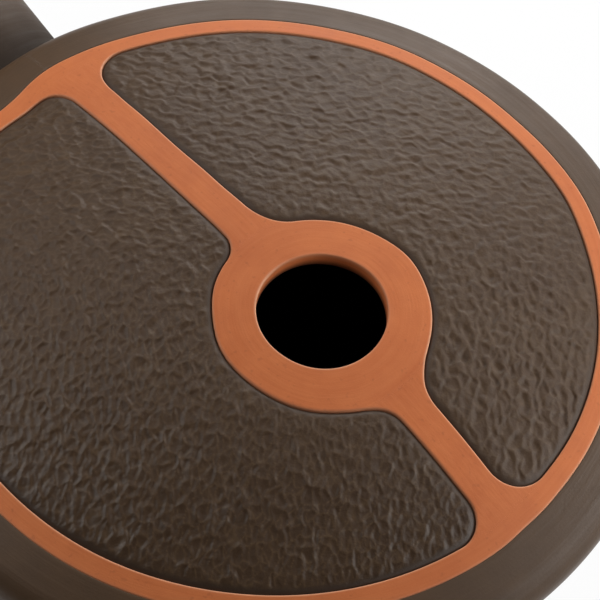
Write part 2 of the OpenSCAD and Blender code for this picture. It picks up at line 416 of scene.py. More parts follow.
def slab(plan, triangles, reach, top_depth):
    """A closed piece over triangles of the plan. Each one reaches from one level of
    depth to another, and walls close the steps between neighbours. Returns the points,
    the faces and each point's place in the plan, or -1 where it isn't on top."""
    owner = {}
    for t, (a, b, c) in enumerate(triangles):
        for edge in ((a, b), (b, c), (c, a)):
            owner[edge] = t
    places, faces = {}, []

    def at(level, i):
        return places.setdefault((level, i), len(places))

    for t, corners in enumerate(triangles):
        top, under = reach[t]
        a, b, c = corners
        faces.append((at(top, a), at(top, b), at(top, c)))
        faces.append((at(under, c), at(under, b), at(under, a)))
        for i, j in ((a, b), (b, c), (c, a)):
            other = owner.get((j, i))
            beside = reach[other] if other is not None else (0, 0)
            for level in range(top, under):
                if not beside[0] <= level < beside[1]:
                    faces.append((at(level + 1, i), at(level + 1, j), at(level, j), at(level, i)))
    levels = np.array([level for level, _ in places])
    spots = np.array([i for _, i in places])
    depth = np.array(LEVEL_DEPTHS)[levels]
    depth = np.where(levels == TOP, top_depth[spots], depth)
    return on_dome(plan[spots], depth), faces, np.where(levels == TOP, spots, -1)


def brush_of_face(points):
    """Along and across each run of bare clay, for the marks of the potter's tools."""
    x, y, z = points.T
    r, away = from_axis(points), from_hole(points)
    round_ring = np.column_stack([np.arctan2(y, x) * RING_R, r, z])
    turn = np.arctan2(y - HOLE_C[1], x - HOLE_C[0])
    round_hole = np.column_stack([turn * COLLAR_R, away, z])
    brush = np.column_stack([y, x, z])
    brush = np.where((away < COLLAR_R)[:, None], round_hole, brush)
    return np.where((r > FACE_R)[:, None], round_ring, brush) * MM


def edge_highlight_at(gap, facing):
    """The painted highlight on an edge at a gap from it, by how far it faces the light, from -1 to
    1.
    """
    turned = HIGHLIGHT_ELSEWHERE + (1 - HIGHLIGHT_ELSEWHERE) * smooth(*HIGHLIGHT_FACING, facing)
    return turned * np.exp(-(gap / HIGHLIGHT_WIDTH) ** 2)


def edge_highlights(plan, panels):
    """How much painted highlight each place of the bare clay gets, at the panels, the rim and the
    hole.
    """
    gap = distance_to(plan, panels)
    near = gap < HIGHLIGHT_REACH
    step = 0.05
    behind = distance_to(plan[near] - step * LIGHT_FROM, panels)
    before = distance_to(plan[near] + step * LIGHT_FROM, panels)
    facing = np.zeros(len(plan))
    facing[near] = (behind - before) / (2 * step)
    r = np.maximum(from_axis(plan), 1)
    away = np.maximum(from_hole(plan), 1)
    return np.maximum.reduce([
        edge_highlight_at(gap, facing),
        edge_highlight_at(RING_R - r, plan @ LIGHT_FROM / r),
        edge_highlight_at(away - HOLE_R, (HOLE_C - plan) @ LIGHT_FROM / away),
    ])


def in_panels(points, panels):
    return inside(points, panels[0]) | inside(points, panels[1])


def collar_seams():
    """Where the collar meets the band's two runs: the far seam, then the near one."""
    largest = max(max(pair.values()) for pair in COLLAR_CORNERS.values())
    corner_y = math.sqrt((COLLAR_R + largest) ** 2 - (HALF_BAND + largest) ** 2)
    return [-HOLE_Y + way * (corner_y + COLLAR_RUN) for way in (1, -1)]


def face_plan(panels, seams):
    """The face as seen from above, in triangles that keep the edges of every piece."""
    edges = [panel_outline(side, -row) for side in (1, -1) for row in GROOVE_ROWS]
    rings = [circle((0, 0), RING_R - row) for row in RING_ROWS]
    ledge = circle((0, 0), RING_R - LEDGE_W, LEDGE_STEP)
    holes = [circle(HOLE_C, HOLE_R + row) for row in HOLE_ROWS]
    across = np.array([BAND_X - HALF_BAND, BAND_X + HALF_BAND])
    lines = [
        subdivided(np.column_stack([across, [y, y]]), 1.0, closed=False) for y in seams]

    grid = honeycomb(CLAY_PITCH, RING_R)
    r = from_axis(grid)
    clear = ~in_panels(grid, panels)
    clear &= distance_to(grid, panels) > GROOVE_ROWS[-1] + CLAY_CLEAR
    clear &= r < RING_R - RING_ROWS[-1] - CLAY_CLEAR
    clear &= from_hole(grid) > HOLE_R + HOLE_ROWS[-1] + CLAY_CLEAR
    clear &= np.abs(r - ledge[0, 0]) > CLAY_CLEAR
    clear &= np.abs(grid[:, 1:] - seams).min(axis=1) > CLAY_CLEAR
    beds = honeycomb(BED_PITCH, RING_R)
    in_bed = in_panels(beds, panels) & (distance_to(beds, panels) > BED_CLEAR)
    loose = np.vstack([grid[clear], beds[in_bed]])
    plan, triangles, _ = triangulate([*rings, ledge, *edges, *holes], lines, loose)
    return plan, triangles


def bare_face_pieces(finish):
    """The ring with the band's two runs, and the collar, from one plan so that they meet."""
    panels = [panel_outline(side, 0) for side in (1, -1)]
    seams = collar_seams()
    plan, triangles = face_plan(panels, seams)

    middles = plan[triangles].mean(axis=1)
    dark = in_panels(middles, panels)
    r = from_axis(middles)
    collar = (np.abs(middles[:, 0] - BAND_X) < COLLAR_R) & ~dark & (r < FACE_R)
    collar &= (middles[:, 1] < seams[0]) & (middles[:, 1] > seams[1])
    through = from_hole(middles) < HOLE_R

    drop = rounded(distance_to(plan, panels), GROOVE_EDGE)
    drop += rounded(RING_R - from_axis(plan), RING_EDGE)
    drop += rounded(from_hole(plan) - HOLE_R, HOLE_EDGE)
    # Painted highlight along the bare clay's edges, strongest where they face the light
    edge_highlight = edge_highlights(plan, panels)

    levels = np.column_stack([
        np.where(dark, BED, TOP),
        np.where(r > RING_R - LEDGE_W, LEDGE, UNDER),
    ])
    for name, node, own in (
        ("face_ring_and_band", "playing_face", ~collar & ~through),
        ("sound_hole_collar", "hole_collar", collar & ~through),
    ):
        points, faces, spots = slab(
            plan, [tuple(t) for t in triangles[own].tolist()], levels[own].tolist(), drop)
        # Painted shade on the hole's wall and the face's underside
        marks = {
            "brush": brush_of_face(points),
            "painted_shade": smooth(*FACE_SHADE, below_skin(points)),
            "edge_highlight": np.where(spots >= 0, edge_highlight[spots], 0),
        }
        make_piece(name, points, faces, finish, node, marks)


# Dark panels
PANEL_ROWS = (0.12, 0.35, 0.65, 1.0, 1.5, 2.1, 2.8)
PANEL_STEP = 0.8
PANEL_PITCH = {1: 0.57, -1: 0.58}
PANEL_CLEAR = 0.4
# How far a panel's underside stays off its bed
BED_GAP = 0.02
# Height over the dome at a distance from the groove: the margin slopes into it
MARGIN_GAPS = (0, 0.12, 0.35, 0.65, 1.0, 1.5, 2.1, 2.8, 4.5)
MARGIN_HEIGHTS = (-1.6, -1.6, -1.25, -0.92, -0.66, -0.4, -0.2, -0.07, 0.06)
# Distances from the groove over which the worked clay sets in, and its lowest and highest
WORKED_GAPS = (0.9, 3.4)
WORKED_HEIGHTS = (-1.6, 0.5)

# The clay of a panel is lifted into cushions and pressed into bowls, with grit over
# them. A layer has its own seed, added to the panel's, the pitch of its grid, how round
# its tops are, how much they differ in height, how far they are drawn out along the
# stroke at most, and how soft the creases between them are. Lengths are in mm.
CUSHIONS = {
    "own_seed": 0, "pitch": 3.7, "top_r": 6.0, "step": 0.5, "stretch": 1.5, "soft": 0.45}
BOWLS = {
    "own_seed": 10, "pitch": 4.4, "top_r": 6.0, "step": 0.5, "stretch": 1.6, "soft": 0.3}
GRIT = {
    "own_seed": 40, "pitch": 1.9, "top_r": 5.0, "step": 0.2, "stretch": 1.6, "soft": 0.15}
BOWLS_ASIDE = 1.7
CREST_WIDTH = 0.15
# How fine the layers are on each panel, how much of each goes in, and how much lighter a crest is
# painted, as wear and as a painted sheen
MIXES = {
    1: {"fine": 0.78, "cushions": 0.5, "bowls": 0.65, "swells": 0.2, "grit": 0.6,
        "crest": 0.7},
    -1: {"fine": 0.72, "cushions": 0.15, "bowls": 0.85, "swells": 0.13, "grit": -1.2,
         "crest": 0.9},
}
# Smooth fields over a panel: own seed, how many waves, and the waves' lengths
FIELDS = {
    "wander_x": (3, 7, (6, 14)),
    "wander_y": (5, 7, (6, 14)),
    "swells": (7, 60, (4.4, 8.5)),
    "turn": (8, 5, (30, 60)),
    "strength": (9, 6, (25, 60)),
}
# Where in its swing a wave may start, and how far the strokes wander, in mm
PHASES = (0, 6.3)
WANDER = 0.8
# The strokes run across the far half of the face and away over the near half
AWAY = np.array([0.74, 0.67])
STROKE_ACROSS, STROKE_AWAY = 1.5, 1.85
NEAR_SEED = 2
NEAR_FINER = {1: 0.87, -1: 0.8}
NEAR_HIGHER = 1.12
TURN_OF_STROKES = {1: (-45, 110), -1: (-45, 35)}
TURN_WANDER = 12
# How far the near half of a panel is painted darker than the rest, as painted shade, and made
# shinier
PAINTED_NEAR_SHADE = {1: 0.0, -1: 1.0}
NEAR_SHADE_FROM = (-125, -25)
# How strong the relief is, how much that varies, and spots where it differs: where, how
# far round, how much more
STRENGTH, STRENGTH_VARIES = 0.98, 0.15
HEAVY_SPOTS = {
    1: [((52, -92), 34, 0.8), ((40, 100), 45, 0.4)],
    -1: [((-60, 90), 40, 0.1), ((-35, 55), 45, 0.14), ((-84, -5), 45, 0.45),
         ((-83, -94), 50, -0.22)],
}
PANEL_SEED = 20


def waves(points, field, seed):
    """A smooth field that wanders between about -1 and 1."""
    own_seed, count, lengths = FIELDS[field]
    rng = np.random.default_rng(seed + own_seed)
    total = np.zeros(len(points))
    for _ in range(count):
        a = rng.uniform(0, 2 * math.pi)
        k = 2 * math.pi / rng.uniform(*lengths)
        heading = k * np.array([math.cos(a), math.sin(a)])
        total += np.sin(points @ heading + rng.uniform(*PHASES))
    return total / math.sqrt(2 * count)


def cushioned(points, seed, own_seed, pitch, top_r, step, stretch, soft):
    """Clay lifted into low cushions that meet in creases, one to a cell of a grid.
    Returns the height and how far each place is, in height, from a crease."""
    rng = np.random.default_rng(seed + own_seed)
    cells, lowest, around = 128, -9.0, range(-2, 3)
    jitter = rng.uniform(-0.5, 0.5, (cells, cells, 2))
    rise = rng.uniform(0, step, (cells, cells))
    heading = rng.uniform(0, math.pi, (cells, cells))
    longer = rng.uniform(1.0, stretch, (cells, cells))
    home = np.floor(points / pitch)
    first = np.full(len(points), lowest)
    second = first.copy()
    for step_x in around:
        for step_y in around:
            cell = (home + (step_x, step_y)).astype(int)
            i, j = cell[:, 0] % cells, cell[:, 1] % cells
            off = points - (cell + 0.5 + jitter[i, j]) * pitch
            c, s = np.cos(heading[i, j]), np.sin(heading[i, j])
            along = (off[:, 0] * c + off[:, 1] * s) / longer[i, j]
            across = off[:, 1] * c - off[:, 0] * s
            height = rise[i, j] - (along ** 2 + across ** 2) / (2 * top_r)
            second = np.where(height > first, first, np.maximum(second, height))
            first = np.maximum(first, height)
    gap = first - second
    return first + soft / 4 * np.clip(1 - gap / soft, 0, 1) ** 2, gap


def strokes_along(plan, heading, longer, mix, fine, seed):
    """Clay worked in strokes along one heading: height and nearness of a crest."""
    wander = np.column_stack([waves(plan, way, seed) for way in ("wander_x", "wander_y")])
    spots = (plan + WANDER * wander) / fine
    along = spots @ heading / longer
    across = spots @ (-heading[1], heading[0])
    spots = np.column_stack([along, across])
    raised, _ = cushioned(spots, seed, **CUSHIONS)
    sunk, gap = cushioned(spots + BOWLS_ASIDE, seed, **BOWLS)
    grit, _ = cushioned(spots, seed, **GRIT)
    height = mix["cushions"] * raised - mix["bowls"] * sunk + mix["grit"] * grit
    height += mix["swells"] * waves(spots, "swells", seed)
    return fine * (height - height.mean()), np.exp(-gap / CREST_WIDTH)


def panel_relief(plan, side):
    """The worked surface of a panel: height in mm and nearness of a crest."""
    seed = PANEL_SEED + side
    mix = MIXES[side]
    fine = mix["fine"]
    sideways = np.array([-AWAY[1], AWAY[0]])
    far, far_crest = strokes_along(plan, sideways, STROKE_ACROSS, mix, fine, seed)
    near, near_crest = strokes_along(
        plan, AWAY, STROKE_AWAY, mix, NEAR_FINER[side] * fine, seed + NEAR_SEED)
    near = NEAR_HIGHER * near
    turn = plan @ AWAY + TURN_WANDER * waves(plan, "turn", seed)
    share = smooth(*TURN_OF_STROKES[side], turn)
    height = (share * far + (1 - share) * near) / np.hypot(share, 1 - share)
    crest = mix["crest"] * (share * far_crest + (1 - share) * near_crest)
    strength = STRENGTH + STRENGTH_VARIES * waves(plan, "strength", seed)
    for spot, reach, more in HEAVY_SPOTS[side]:
        strength += more * np.exp(-((plan - spot) ** 2).sum(axis=1) / reach ** 2)
    return height * strength, crest


def grid_inside(loop, pitch, clear):
    """Points of an even grid inside a loop, clear of its edge."""
    grid = honeycomb(pitch, FACE_R)
    grid = grid[inside(grid, loop)]
    return grid[distance_to(grid, [loop]) > clear]


def dark_panel(side, name, node, finish):
    """One dark panel: a worked top with a sunk margin, and an underside along the dome."""
    rows = [panel_outline(side, row, PANEL_STEP) for row in PANEL_ROWS]
    plan, triangles, rim = triangulate(
        rows, [], grid_inside(rows[-1], PANEL_PITCH[side], PANEL_CLEAR))
    gap = distance_to(plan, [panel_outline(side, 0, PANEL_STEP)])
    relief, crest = panel_relief(plan, side)
    worked = smooth(*WORKED_GAPS, gap)
    margin = np.interp(gap, MARGIN_GAPS, MARGIN_HEIGHTS)
    height = np.clip(margin + relief * worked, *WORKED_HEIGHTS)

    under, under_triangles, under_rim = triangulate(
        rows[:1], [], grid_inside(rows[0], BED_PITCH, BED_CLEAR))
    under_depth = np.full(len(under), INLAY_T - BED_GAP)
    points = np.vstack([on_dome(plan, -height), on_dome(under, under_depth)])
    first = len(plan)
    faces = triangles.tolist() + (under_triangles[:, ::-1] + first).tolist()
    for k in range(len(rim)):
        n = (k + 1) % len(rim)
        faces.append((first + under_rim[k], first + under_rim[n], rim[n], rim[k]))
    # Painted shade over the near half of the left panel
    painted_near_shade = PAINTED_NEAR_SHADE[side] * (1 - smooth(*NEAR_SHADE_FROM, plan @ AWAY))
    marks = {
        "crest": np.concatenate([crest * worked, np.zeros(len(under))]),
        "margin": np.concatenate([1 - worked, np.ones(len(under))]),
        "painted_near_shade": np.concatenate([painted_near_shade, np.zeros(len(under))]),
    }
    make_piece(name, points, faces, finish, node, marks, crease=70)


# The pot's shell
def skin_gap(r, z):
    """Distance of points outside the pot's outer skin, less than zero inside it."""
    side_turn = np.degrees(np.arctan2(z - SIDE_C[1], r - SIDE_C[0]))
    rim_turn = np.degrees(np.arctan2(z - RIM_C[1], r - RIM_C[0]))
    side = np.hypot(r - SIDE_C[0], z - SIDE_C[1]) - SIDE_R
    low = np.hypot(np.maximum(r - FLOOR_R, 0), z - CORNER_C[1]) - FLOOR_ROUND
    rim = np.hypot(r - RIM_C[0], z - RIM_C[1]) - RIM_ROUND
    dome = np.hypot(r, z - DOME_C[1]) - DOME_R
    gap = np.where(side_turn < SIDE_END, low, side)
    over = (side_turn > SIDE_START) | (z > SEAM_Z)
    gap = np.where(over, np.where(rim_turn > DOME_END, dome, rim), gap)
    return np.where(over & (r < RIM_C[0] - RIM_ROUND), dome, gap)


def below_skin(points):
    return -skin_gap(from_axis(points), points[:, 2])


def brush_round(points):
    """Round the pot and up it, for the marks left by burnishing."""
    r = from_axis(points)
    turn = np.arctan2(points[:, 0], -points[:, 1])
    return np.column_stack([turn * BODY_R, points[:, 2] - r, r]) * MM


# Depths under the skin between which the painted shade of the inside sets in
SHELL_SHADE = (2.5, 5)
SHOULDER_TURNS, BOWL_TURNS, FOOT_TURNS, COIL_TURNS = 600, 420, 420, 480
# The shoulder's edge at the face: its gap to the face, its rounding and the rows in it
FACE_GAP = 0.04
FACE_EDGE = 0.4
FACE_EDGE_ROWS = (0, 0.06, 0.2)


def shell_marks(points):
    return {"painted_shade": smooth(*SHELL_SHADE, below_skin(points)), "brush": brush_round(points)}


def turn_on_side(z, r):
    """The direction in which an arc of radius r round the side's centre is at height z."""
    return math.degrees(math.asin((z - SIDE_C[1]) / r))


def turn_on_dome(x, r):
    """The direction in which an arc of radius r round the dome's centre is x off the axis."""
    return math.degrees(math.acos(x / r))


# The step in the middle of the wall where the two halves lap
LAP_R = SIDE_R - WALL / 2
LAP = [polar(SIDE_C, LAP_R, turn_on_side(z, LAP_R)) for z in (SEAM_Z, SEAM_LOW)]


def shoulder(finish):
    """The dark upper half: rolled rim, the ledge under the face and the lap at the joint."""
    top_r, ledge_x = RING_R + FACE_GAP, RING_R - LEDGE_W
    inner_r, ledge_r, under_r = SIDE_R - WALL, DOME_R - WALL / 2, DOME_R - WALL
    skin = np.vstack([
        arc(DOME_C, DOME_R, turn_on_dome(top_r + FACE_EDGE, DOME_R), DOME_END, 1.3)[:-1],
        arc(RIM_C, RIM_ROUND, DOME_END, SIDE_START, 1.0)[:-1],
        arc(SIDE_C, SIDE_R, SIDE_START, turn_on_side(SEAM_Z, SIDE_R), 1.0),
    ])
    inner = np.vstack([
        arc(SIDE_C, inner_r, turn_on_side(SEAM_LOW, inner_r), SIDE_START, 2.0)[:-1],
        arc(RIM_C, RIM_ROUND - WALL, SIDE_START, DOME_END, 1.0)[:-1],
        arc(DOME_C, under_r, DOME_END, turn_on_dome(ledge_x, under_r), 2.0),
    ])
    step = [polar(DOME_C, ledge_r, turn_on_dome(x, ledge_r)) for x in (ledge_x, top_r)]
    rounding = [
        polar(DOME_C, DOME_R - rounded(gap, FACE_EDGE), turn_on_dome(top_r + gap, DOME_R))
        for gap in FACE_EDGE_ROWS]
    points, faces = lathe(np.vstack([skin, LAP, inner, step, rounding]), SHOULDER_TURNS)
    make_piece("shoulder", points, faces, finish, "shoulder_ring",
               shell_marks(points))


def cut_away(points, faces, cutter_points, cutter_faces):
    """Cuts one closed form out of another."""
    body = stood("body", closed_mesh("body", points, faces))
    cutter = stood("cutter", closed_mesh("cutter", cutter_points, cutter_faces))
    cut = body.modifiers.new("bore", "BOOLEAN")
    cut.operation = "DIFFERENCE"
    cut.solver = "EXACT"
    cut.object = cutter
    done = body.evaluated_get(bpy.context.evaluated_depsgraph_get()).to_mesh()
    points = np.array([v.co for v in done.vertices]) / MM
    faces = [tuple(p.vertices) for p in done.polygons]
    for form in (body, cutter):
        bpy.data.objects.remove(form)
    return points, faces


def level_run(start, end, count, z):
    """Points of an outline that run level from one distance off the axis to another."""
    return np.column_stack([np.linspace(start, end, count), np.full(count, z)])


def bowl(finish):
    """The dark lower half, open behind the neck."""
    inner_r = SIDE_R - WALL
    outline = np.vstack([
        level_run(0, FLOOR_R, 9, FOOT_H)[:-1],
        arc(CORNER_C, FLOOR_ROUND, -90, SIDE_END, 2.5)[:-1],
        arc(SIDE_C, SIDE_R, SIDE_END, turn_on_side(SEAM_Z, SIDE_R), 2.5),
        LAP,
        arc(SIDE_C, inner_r, turn_on_side(SEAM_LOW, inner_r), SIDE_END, 3.5)[:-1],
        arc(CORNER_C, FLOOR_ROUND - WALL, SIDE_END, -90, 3.5)[:-1],
        level_run(FLOOR_R, 0, 7, FOOT_H + WALL),
    ])
    points, faces = lathe(outline, BOWL_TURNS, on_axis=True)
    points, faces = cut_away(points, faces, *bore_cutter())
    marks = shell_marks(points)
    # Painted shade round the neck's root, on the pot
    marks["painted_shade"] = np.maximum(marks["painted_shade"], shade_on_pot(points))
    make_piece("bowl", points, faces, finish, "lower_bowl", marks)


def foot(finish):
    """The bare ring that the pot stands on, smoothed into the pot's underside."""
    inner_x = FOOT_R - FOOT_W
    sunk = 0.15

    def under(r):
        return CORNER_C[1] - math.sqrt(FLOOR_ROUND ** 2 - (r - FLOOR_R) ** 2)

    seat = [[r, under(r) + sunk] for r in np.linspace(FOOT_R + 3.2, inner_x - 2.6, 9)]
    outline = np.array([
        [inner_x + FOOT_BEVEL, 0], [inner_x + 4, 0], [FOOT_R - 4, 0], [FOOT_R - FOOT_BEVEL, 0],
        [FOOT_R - 0.6, 0.35], [FOOT_R - 0.15, 0.9], [FOOT_R, 1.8], [FOOT_R, 5], [FOOT_R, 9],
        [FOOT_R + 0.2, under(FOOT_R) - 3.4], [FOOT_R + 0.8, under(FOOT_R) - 1.7],
        [FOOT_R + 1.8, under(FOOT_R) - 0.2], *seat,
        [inner_x - 1.2, under(inner_x) - 0.9], [inner_x - 0.3, under(inner_x) - 2.2],
        [inner_x, 4.2], [inner_x, 2.2], [inner_x + 0.25, 0.9], [inner_x + 0.7, 0.3],
    ])
    points, faces = lathe(outline, FOOT_TURNS)
    make_piece("foot", points, faces, finish, "foot_ring",
               {"brush": brush_round(points)})


# The neck
NECK_TURNS = 360
NECK_ANGLES = np.arange(NECK_TURNS) * 2 * math.pi / NECK_TURNS
BORE_R = NECK_R - NECK_WALL
BORE_TURNS = 180
BORE_ENDS = (-120.0, 20.0)
# Between these places along the neck, every line of a tube leaves the pot's skin
ROOT_RANGE = (-130.0, 10.0)
HALVINGS = 40
OUTER_ROWS, INNER_ROWS = 40, 30
ROOT_SUNK = 0.3
# How much painted shade the flare's hollow has at its mouth and where it meets the bore
FLARE_SHADE = (0.1, 0.55)


def round_neck(r, t, angles=NECK_ANGLES):
    """Points round the Z axis at distance r and height t."""
    return np.column_stack([r * np.cos(angles), r * np.sin(angles),
                            np.broadcast_to(t, len(angles))])


def along_neck(points):
    """Lays points that stand on the Z axis along the neck's axis."""
    return NECK_AT + points @ NECK_AXES


def neck_start(r, deep, angles=NECK_ANGLES):
    """How far along the neck each line of a tube of radius r leaves the pot's skin."""
    low, high = (np.full(len(angles), end) for end in ROOT_RANGE)
    for _ in range(HALVINGS):
        t = (low + high) / 2
        out = -below_skin(along_neck(round_neck(r, t, angles))) > -deep
        high = np.where(out, t, high)
        low = np.where(out, low, t)
    return (low + high) / 2


def bore_cutter():
    """A plain bar along the neck's bore, from inside the pot to outside it."""
    start, end = BORE_ENDS
    outline = np.array([[0, start], [BORE_R, start], [BORE_R, end], [0, end]])
    points, faces = lathe(outline, BORE_TURNS, on_axis=True)
    return along_neck(points), faces


NECK_ROOT = along_neck(np.array([[0, 0, neck_start(1.0, 0, np.zeros(1))[0]]]))[0]
# Painted shade round the neck's root, for the shaded neck and the crease at the pot, as a share of
# the inside's painted shade: how strong, how far it reaches from the root's middle, and the heights
# between which it fades on the pot
ROOT_SHADE = 0.85
SHADE_REACH = (38, 100)
SHADE_TOP = (92, 122)


def shade_on_neck(points):
    return ROOT_SHADE * (1 - smooth(*SHADE_REACH, np.linalg.norm(points - NECK_ROOT, axis=1)))


def shade_on_pot(points):
    return shade_on_neck(points) * (1 - smooth(*SHADE_TOP, points[:, 2]))


def brush_of_neck(points):
    turn = np.arctan2(points[:, 1], points[:, 0])
    return np.column_stack([turn * NECK_R, points[:, 2], np.zeros(len(points))]) * MM


def neck_tube(finish):
    """The neck with its flare. Its root follows the pot's skin."""
    flare = arc(FLARE_C, FLARE_R, 180, FLARE_END, 1.3)[1:]
    hollow = arc(FLARE_C, FLARE_R + NECK_WALL, FLARE_END, 180, 1.5)[:-1]

    def straight(r, shares):
        starts = neck_start(r, ROOT_SUNK)
        return [round_neck(r, starts + (NECK_RUN - starts) * share) for share in shares]

    rows = straight(NECK_R, np.linspace(0, 1, OUTER_ROWS))
    rows += [round_neck(r, t) for r, t in [*flare, *hollow]]
    rows += straight(BORE_R, np.linspace(1, 0, INNER_ROWS))
    points = np.vstack(rows)
    outside = NECK_TURNS * (OUTER_ROWS + len(flare))
    # Painted shade round the root outside, and in the hollow of the flare and the bore
    painted_shade = np.concatenate([
        shade_on_neck(along_neck(points[:outside])),
        np.repeat(np.linspace(*FLARE_SHADE, len(hollow)), NECK_TURNS),
        np.repeat(np.linspace(FLARE_SHADE[1], 1, INNER_ROWS), NECK_TURNS),
    ])
    make_piece("neck_tube", along_neck(points), ring_faces(len(rows), NECK_TURNS, True), finish,
               "neck", {"brush": brush_of_neck(points), "painted_shade": painted_shade})


def lip(finish):
    """The rolled lip round the mouth."""
    middle = polar(FLARE_C, FLARE_R + NECK_WALL / 2, FLARE_END)
    out = math.radians(FLARE_END)
    middle = middle + LIP_REACH * np.array([math.sin(out), -math.cos(out)])
    back = math.degrees(math.atan2(math.cos(out), -math.sin(out)))
    half = math.degrees(math.acos(LIP_REACH / LIP_R))
    outline = arc(middle, LIP_R, back + half, back + 360 - half, 0.8)
    points, faces = lathe(outline, NECK_TURNS)
    make_piece("lip", along_neck(points), faces, finish, "neck_lip",
               {"brush": brush_of_neck(points), "painted_shade": np.zeros(len(points))})


# The fillet's reach along neck and pot, the rows of points over it, how hollow it is,
# and how deep its underside lies in the clay
FILLET_LEG = 8.5
FILLET_ROWS = 13
FILLET_PULL = 0.75
FILLET_SUNK = 1.2


def skin_normal(spots):
    """The direction straight out of the pot's skin at points on it."""
    step = 0.01
    slopes = [below_skin(spots - step * axis) - below_skin(spots + step * axis)
              for axis in np.eye(3)]
    normals = np.column_stack(slopes)
    return normals / np.linalg.norm(normals, axis=1)[:, None]


def root_fillet(finish):
    """The coil of clay smoothed into the corner between the neck and the pot."""
    starts = neck_start(NECK_R, 0)
    corner = along_neck(round_neck(NECK_R, starts))
    away = corner - (NECK_AT + np.outer(starts, NECK_AXES[2]))
    away /= np.linalg.norm(away, axis=1)[:, None]
    normal = skin_normal(corner)
    along = away - np.einsum("ij,ij->i", away, normal)[:, None] * normal
    along /= np.linalg.norm(along, axis=1)[:, None]
    far = corner + FILLET_LEG * along
    for _ in range(3):
        far = far + below_skin(far)[:, None] * skin_normal(far)
    near = along_neck(round_neck(NECK_R, starts + FILLET_LEG))
    pull_near, pull_far = (end + FILLET_PULL * (corner - end) for end in (near, far))
    over = np.linspace(0, 1, FILLET_ROWS)
    rows = [(1 - t) ** 3 * near + 3 * (1 - t) ** 2 * t * pull_near
            + 3 * (1 - t) * t ** 2 * pull_far + t ** 3 * far for t in over]
    rows += [
        far - FILLET_SUNK * skin_normal(far),
        corner - FILLET_SUNK * normal - FILLET_SUNK * away,
        along_neck(round_neck(NECK_R - FILLET_SUNK, starts + FILLET_LEG)),
    ]
    points = np.vstack(rows)
    on_pot = np.repeat([*over, 1, 0.5, 0], NECK_TURNS)
    # Painted shade in the corner between the neck and the pot
    painted_shade = (1 - on_pot) * shade_on_neck(points) + on_pot * shade_on_pot(points)
    make_piece("root_fillet", points, ring_faces(len(rows), NECK_TURNS, True), finish,
               "neck_root_coil",
               {"brush": brush_round(points), "painted_shade": painted_shade}, crease=60)


# Coils pressed into the joints from inside, with a dent from each finger
COIL_ROWS = 13
COIL_SUNK = 0.2
DENTS, FINE_DENTS = 53, 31
DENT_DEPTH, FINE_DEPTH = 0.35, 0.2


def inside_coil(name, node, centre, r, a, finish):
    """A coil of clay on the inside of a wall, in direction a from the centre of its arc."""
    inner_r = r - WALL
    middle = polar(centre, inner_r, a)
    half = math.degrees(math.asin(COIL_R / inner_r))
    outline = np.array(
        [polar(middle, COIL_R, a + 180 - turn) for turn in np.linspace(-88, 88, COIL_ROWS)]
        + [polar(centre, inner_r + COIL_SUNK, a + way * half * 0.9) for way in (-1, 1)])
    points, faces = lathe(outline, COIL_TURNS)
    turn = np.arctan2(points[:, 1], points[:, 0])
    dent = DENT_DEPTH * np.sin(turn * DENTS + 2 * np.sin(turn * 5))
    dent += FINE_DEPTH * np.sin(turn * FINE_DENTS)
    off_wall = np.linalg.norm(outline - middle, axis=1)
    off_wall[COIL_ROWS:] = 0
    loose = smooth(0.5, COIL_R, np.repeat(off_wall, COIL_TURNS))
    inward, upward = (centre - middle) / np.linalg.norm(centre - middle)
    radial = np.column_stack([np.cos(turn), np.sin(turn)])
    points[:, :2] += radial * (inward * (dent * loose))[:, None]
    points[:, 2] += upward * dent * loose
    # Painted shade all over, as the coil lies inside the pot
    make_piece(name, points, faces, finish, node,
               {"brush": brush_round(points), "painted_shade": np.ones(len(points))})


# Finishes
def srgb(r, g, b):
    """A colour given as seen on screen, 0 to 255, as a shader takes it."""
    parts = [c / 255 for c in (r, g, b)]
    return (*[c / 12.92 if c <= 0.04045 else ((c + 0.055) / 1.055) ** 2.4 for c in parts], 1.0)


# Colours of the clays as seen on screen
CLAY = {"Darker": srgb(181, 96, 50), "Lighter": srgb(198, 111, 61)}
CLAY_STROKES, CLAY_SPECKS = srgb(206, 125, 77), srgb(152, 80, 44)
# Colour of the painted highlight on the bare clay's edges
CLAY_HIGHLIGHT = srgb(228, 178, 144)
SLIP = {"Darker": srgb(72, 53, 36), "Lighter": srgb(83, 62, 43)}
SLIP_STROKES = srgb(90, 73, 60)
INLAY = {"Darker": srgb(66, 47, 31), "Lighter": srgb(75, 55, 36)}
# Colour of the painted grey sheen on the panels' smooth margins
# Colour of the painted shade on a panel's near half
# Crest colour: partly wear, partly a painted sheen on the crests
INLAY_NEAR_SHADE, INLAY_WEAR_AND_SHEEN, INLAY_MARGIN_SHEEN = srgb(46, 32, 21), srgb(100, 80, 60), srgb(60, 55, 52)
# Colour of the painted shade inside the pot and round the neck's root
SHADE = srgb(16, 13, 11)


def put(tree, socket, value):
    """Gives a socket a constant, or links another socket to it."""
    if isinstance(value, bpy.types.NodeSocket):
        tree.links.new(value, socket)
    else:
        socket.default_value = value


def add(tree, kind, inputs=None, **settings):
    """Adds a shader node, with its settings and what goes into its sockets."""
    new = tree.nodes.new(kind)
    for key, value in settings.items():
        setattr(new, key, value)
    for label, value in (inputs or {}).items():
        put(tree, new.inputs[label], value)
    return new


def mixed(tree, factor, a, b):
    """A colour between a and b."""
    return add(tree, "ShaderNodeMix", {0: factor, 6: a, 7: b}, data_type="RGBA").outputs[2]


def value_of(tree, operation, a, b):
    """One value from two, such as their product or the larger one."""
    return add(tree, "ShaderNodeMath", {0: a, 1: b}, operation=operation).outputs[0]


